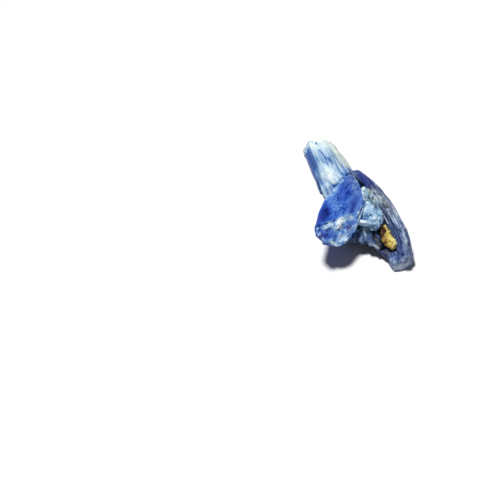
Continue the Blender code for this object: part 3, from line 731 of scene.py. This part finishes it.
# painted highlights on the raised rim of the pit and along the lip
quartz_tone += 0.12 * pit_rim + 0.26 * lip * ramp_up(quartz_laid[:, 0], 0.2, 1.2)
quartz_tone += marks(
    quartz_laid,
    # around the pit: painted shade in it, and marks beside it
    (-0.40, (0.8, -9.4, 8.8), (0.65, 0.8, 1.6)),
    (0.16, (3.7, -9.9, 9.0), (1.2, 1.0, 1.2)),
    (-0.12, (2.9, -8.9, 8.9), (0.8, 0.6, 0.9)),
    # painted shade under the lip, and marks at the right and at the far end
    (-0.22, (2.6, -11.3, 8.0), (1.1, 0.7, 0.9)),
    (0.20, (3.6, -11.6, 6.8), (1.0, 0.6, 0.9)),
    (-0.26, (4.9, -8.5, 8.9), (0.9, 0.8, 0.9)),
    (0.24, (0.9, -0.5, 8.6), (0.8, 0.9, 0.9)),
)
# painted shade: darker towards the near, lower side of the lump, except on the lip
quartz_tone -= 0.22 * ramp_up(-quartz_laid[:, 1] - 0.5 * quartz_laid[:, 2], 6.6, 8.0) * (1.0 - lip)
quartz_tone += ragged * ripples(quartz_laid, (0.9, 0.9, 0.9), 0.6, 2.0)
green_seam = np.maximum(
    streak(quartz_laid, (2.5, -2.6, 7.9), (2.7, -4.6, 9.1), 0.50),
    streak(quartz_laid, (2.8, -4.6, 9.1), (3.9, -6.2, 9.0), 0.34))
green_seam *= 1.2 + ripples(quartz_laid, (0.5, 0.5, 0.5), 0.9, 8.0)
quartz_tone -= 0.3 * green_seam
# painted shade in the grooves and painted light on the ridges
quartz_tone += 1.6 * ridges(quartz, quartz_points, quartz_out)
paint(quartz, "blade", quartz_laid)
paint(quartz, "tone", quartz_tone)
paint(quartz, "warm", ramp_up(quartz_laid[:, 1], -4.6, -2.8))
paint(quartz, "seam", np.clip(green_seam, 0.0, 0.9))
settle(quartz, ROW, quartz_points)


def milky_quartz(name):
    """Milky quartz: cloudy white over blue-grey, with a crumbly, faintly stained surface."""
    made = bpy.data.materials.new(name)
    made.use_nodes = True
    tree = made.node_tree
    shader = tree.nodes["Principled BSDF"]
    place = add(tree, "Attribute", {}, 1, attribute_name="blade")
    pale = add(tree, "Attribute", {}, 2, attribute_name="tone")
    warmth = add(tree, "Attribute", {}, 2, attribute_name="warm")
    cloud = add(tree, "TexNoise", {"Vector": place, "Scale": 0.8, "Detail": 5.0,
                                   "Roughness": 0.65})
    crumb = add(tree, "TexVoronoi", {"Vector": place, "Scale": 2.4}, 1)
    crumb_tone = add(tree, "SeparateColor", {0: crumb}, 0)
    tone = add(tree, "Math", {0: cloud, 1: 1.5, 2: -0.38}, operation="MULTIPLY_ADD")
    tone = add(tree, "Math", {0: crumb_tone, 1: 0.25, 2: tone}, operation="MULTIPLY_ADD")
    tone = add(tree, "Math", {0: tone, 1: pale}, operation="ADD")
    colour = tones(tree, tone, (
        (0.10, 0.055, 0.165, 0.340), (0.38, 0.185, 0.350, 0.570), (0.66, 0.390, 0.570, 0.740),
        (0.90, 0.780, 0.870, 0.900)))
    stain = add(tree, "TexNoise", {"Vector": place, "Scale": 1.3, "Detail": 3.0})
    stain = add(tree, "MapRange", {0: stain, 1: 0.48, 2: 0.62, 3: 0.0, 4: 0.8})
    stain = add(tree, "Math", {0: stain, 1: warmth}, operation="MULTIPLY")
    colour = add(tree, "Mix", {0: stain, 6: colour, 7: (0.25, 0.29, 0.24, 1.0)}, 2,
                 data_type="RGBA")
    seam = add(tree, "Attribute", {}, 2, attribute_name="seam")
    colour = add(tree, "Mix", {0: seam, 6: colour, 7: (0.060, 0.125, 0.135, 1.0)}, 2,
                 data_type="RGBA")
    tree.links.new(colour, shader.inputs["Base Color"])
    gloss = add(tree, "MapRange", {0: cloud, 1: 0.3, 2: 0.7, 3: 0.30, 4: 0.60})
    tree.links.new(gloss, shader.inputs["Roughness"])
    dust = add(tree, "TexNoise", {"Vector": place, "Scale": 7.0, "Detail": 4.0})
    bump = add(tree, "Bump", {"Strength": 0.5, "Distance": 0.00008, "Height": dust})
    tree.links.new(bump, shader.inputs["Normal"])
    shader.inputs["Subsurface Weight"].default_value = 0.2
    shader.inputs["Subsurface Radius"].default_value = (0.8, 0.9, 1.0)
    shader.inputs["Subsurface Scale"].default_value = 0.0010
    return made


quartz.data.materials.append(milky_quartz("quartz"))
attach(quartz, "root")
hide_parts("pale_quartz")

# ------------------------------------------------------------------ yellow matrix
# A grain of the golden, iron-stained rock that the crystals grew in, wedged between the quartz
# and the edge blade.  It is earthy, with bright crystalline facets and a rusty hollow.

MATRIX_GRAIN = 0.09         # mm

matrix = stone_blank("yellow_matrix", "yellow_matrix_grain", ROW, MATRIX_GRAIN)
matrix_laid = points_of(matrix)
matrix_out = normals_of(matrix)
matrix_relief = (
    chips(matrix_laid, (0.9, 1.2, 0.9), 0.40, 11.0)
    + ripples(matrix_laid, (0.7, 0.7, 0.7), 0.16, 3.0)
)
rust = streak(matrix_laid, (5.8, -11.3, 6.5), (5.6, -12.6, 5.8), 0.62)
rust *= 2.0 + ripples(matrix_laid, (0.45, 0.45, 0.45), 1.2, 4.0)
amber = streak(matrix_laid, (5.4, -10.9, 6.1), (5.9, -14.0, 5.2), 0.8)
matrix_relief -= 0.30 * np.clip(rust, 0.0, 1.0)
matrix_relief += marks(
    matrix_laid, (-0.50, (7.3, -11.6, 6.2), (8.1, -13.0, 6.0), 0.6),
    (-0.50, (7.5, -16.3, 4.4), (0.9, 0.6, 1.0)), (0.30, (8.7, -15.2, 5.4), (0.6, 0.8, 0.8)))
matrix_points = matrix_laid + matrix_out * (GROWN_CONTACT + matrix_relief)[:, None]
matrix_tone = marks(
    matrix_laid, (0.34, (6.0, -10.0, 6.3), (0.7, 0.6, 0.8)),
    (0.30, (6.8, -11.6, 6.5), (7.5, -14.0, 6.0), 0.5),
    (0.26, (8.2, -15.0, 5.3), (7.6, -16.0, 5.0), 0.4),
    (-0.24, (7.5, -12.6, 6.3), (0.5, 0.9, 0.9)), (0.24, (5.7, -14.3, 6.1), (0.6, 0.9, 0.9)))
# painted shade: darker towards the grain's left side
matrix_tone -= 0.50 * ramp_up(-matrix_laid[:, 0] - 0.35 * matrix_laid[:, 1], -2.2, -0.9)
# painted shade in the grooves and painted light on the ridges
matrix_tone += 2.2 * ridges(matrix, matrix_points, matrix_out)
paint(matrix, "blade", matrix_laid)
paint(matrix, "tone", matrix_tone)
paint(matrix, "rust", np.clip(rust, 0.0, 1.0))
paint(matrix, "amber", amber)
settle(matrix, ROW, matrix_points)


def golden_rock(name):
    """Iron-stained rock: golden and ochre mottling, with rusty hollows and pale facets."""
    made = bpy.data.materials.new(name)
    made.use_nodes = True
    tree = made.node_tree
    shader = tree.nodes["Principled BSDF"]
    place = add(tree, "Attribute", {}, 1, attribute_name="blade")
    rusty = add(tree, "Attribute", {}, 2, attribute_name="rust")
    mottle = add(tree, "TexNoise", {"Vector": place, "Scale": 1.2, "Detail": 5.0,
                                    "Roughness": 0.7})
    facet = add(tree, "TexVoronoi", {"Vector": place, "Scale": 1.6}, 1)
    facet_tone = add(tree, "SeparateColor", {0: facet}, 0)
    tone = add(tree, "Math", {0: mottle, 1: 1.6, 2: -0.45}, operation="MULTIPLY_ADD")
    tone = add(tree, "Math", {0: facet_tone, 1: 0.30, 2: tone}, operation="MULTIPLY_ADD")
    pale = add(tree, "Attribute", {}, 2, attribute_name="tone")
    tone = add(tree, "Math", {0: tone, 1: pale}, operation="ADD")
    colour = tones(tree, tone, (
        (0.05, 0.090, 0.055, 0.012), (0.32, 0.400, 0.255, 0.035), (0.60, 0.660, 0.510, 0.090),
        (0.88, 0.860, 0.780, 0.360)))
    amber_share = add(tree, "Attribute", {}, 2, attribute_name="amber")
    amber_share = add(tree, "Math", {0: amber_share, 1: mottle}, operation="MULTIPLY")
    colour = add(tree, "Mix", {0: amber_share, 6: colour, 7: (0.400, 0.200, 0.050, 1.0)}, 2,
                 data_type="RGBA")
    colour = add(tree, "Mix", {0: rusty, 6: colour, 7: (0.055, 0.014, 0.004, 1.0)}, 2,
                 data_type="RGBA")
    tree.links.new(colour, shader.inputs["Base Color"])
    gloss = add(tree, "MapRange", {0: mottle, 1: 0.3, 2: 0.7, 3: 0.35, 4: 0.70})
    tree.links.new(gloss, shader.inputs["Roughness"])
    dust = add(tree, "TexNoise", {"Vector": place, "Scale": 8.0, "Detail": 4.0})
    bump = add(tree, "Bump", {"Strength": 0.5, "Distance": 0.00008, "Height": dust})
    tree.links.new(bump, shader.inputs["Normal"])
    return made


matrix.data.materials.append(golden_rock("yellow_matrix"))
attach(matrix, "root")
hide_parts("yellow_matrix")

# ------------------------------------------------------------------ floor, light and camera
# A plain white table in a pale room, lit by one soft lamp from high behind the left of the
# cluster.  The camera looks down on it at a slant, from the front.

TABLE_SIZE = 4.0            # m
TABLE_TOP = -0.00002        # m, just clear of the stones' feet

bpy.ops.object.select_all(action="DESELECT")
bpy.ops.mesh.primitive_plane_add(size=TABLE_SIZE, location=(0.0, 0.0, TABLE_TOP))
floor = bpy.context.object
floor.name = "floor"
paper = bpy.data.materials.new("white_paper")
paper.use_nodes = True
paper_finish = paper.node_tree.nodes["Principled BSDF"].inputs
paper_finish["Base Color"].default_value = (0.90, 0.90, 0.90, 1.0)
paper_finish["Roughness"].default_value = 0.9
floor.data.materials.append(paper)

LAMP_WAY = Vector((0.23, -0.13, -0.96)).normalized()     # the way its light falls
LAMP_POWER = 3.6            # W/m2
LAMP_SPREAD = math.radians(11.0)
ROOM_COLOUR = (1.0, 0.96, 0.90, 1.0)
ROOM_GLOW = 0.08
lamp = bpy.data.lights.new("lamp", "SUN")
lamp.energy = LAMP_POWER
lamp.angle = LAMP_SPREAD
lamp_stand = bpy.data.objects.new("lamp", lamp)
bpy.context.scene.collection.objects.link(lamp_stand)
lamp_stand.rotation_euler = LAMP_WAY.to_track_quat("-Z", "Y").to_euler()

room = bpy.data.worlds.new("room")
room.use_nodes = True
room.node_tree.nodes["Background"].inputs["Color"].default_value = ROOM_COLOUR
room.node_tree.nodes["Background"].inputs["Strength"].default_value = ROOM_GLOW
bpy.context.scene.world = room
bpy.context.scene.view_settings.view_transform = "Standard"

CAMERA_RISE = math.radians(52.0)
CAMERA_AIM = Vector((-0.027254, -0.012816, 0.0))
CAMERA_AWAY = 0.350         # m
FILM_WIDTH, LENS_LENGTH = 36.0, 100.8   # mm
lens = bpy.data.cameras.new("camera")
lens.sensor_width = FILM_WIDTH
lens.lens = LENS_LENGTH
lens.clip_start = 0.01
camera = bpy.data.objects.new("camera", lens)
bpy.context.scene.collection.objects.link(camera)
camera_back = Vector((0.0, -math.cos(CAMERA_RISE), math.sin(CAMERA_RISE)))
camera.location = CAMERA_AIM + CAMERA_AWAY * camera_back
camera.rotation_euler = (math.radians(90.0) - CAMERA_RISE, 0.0, 0.0)
bpy.context.scene.camera = camera
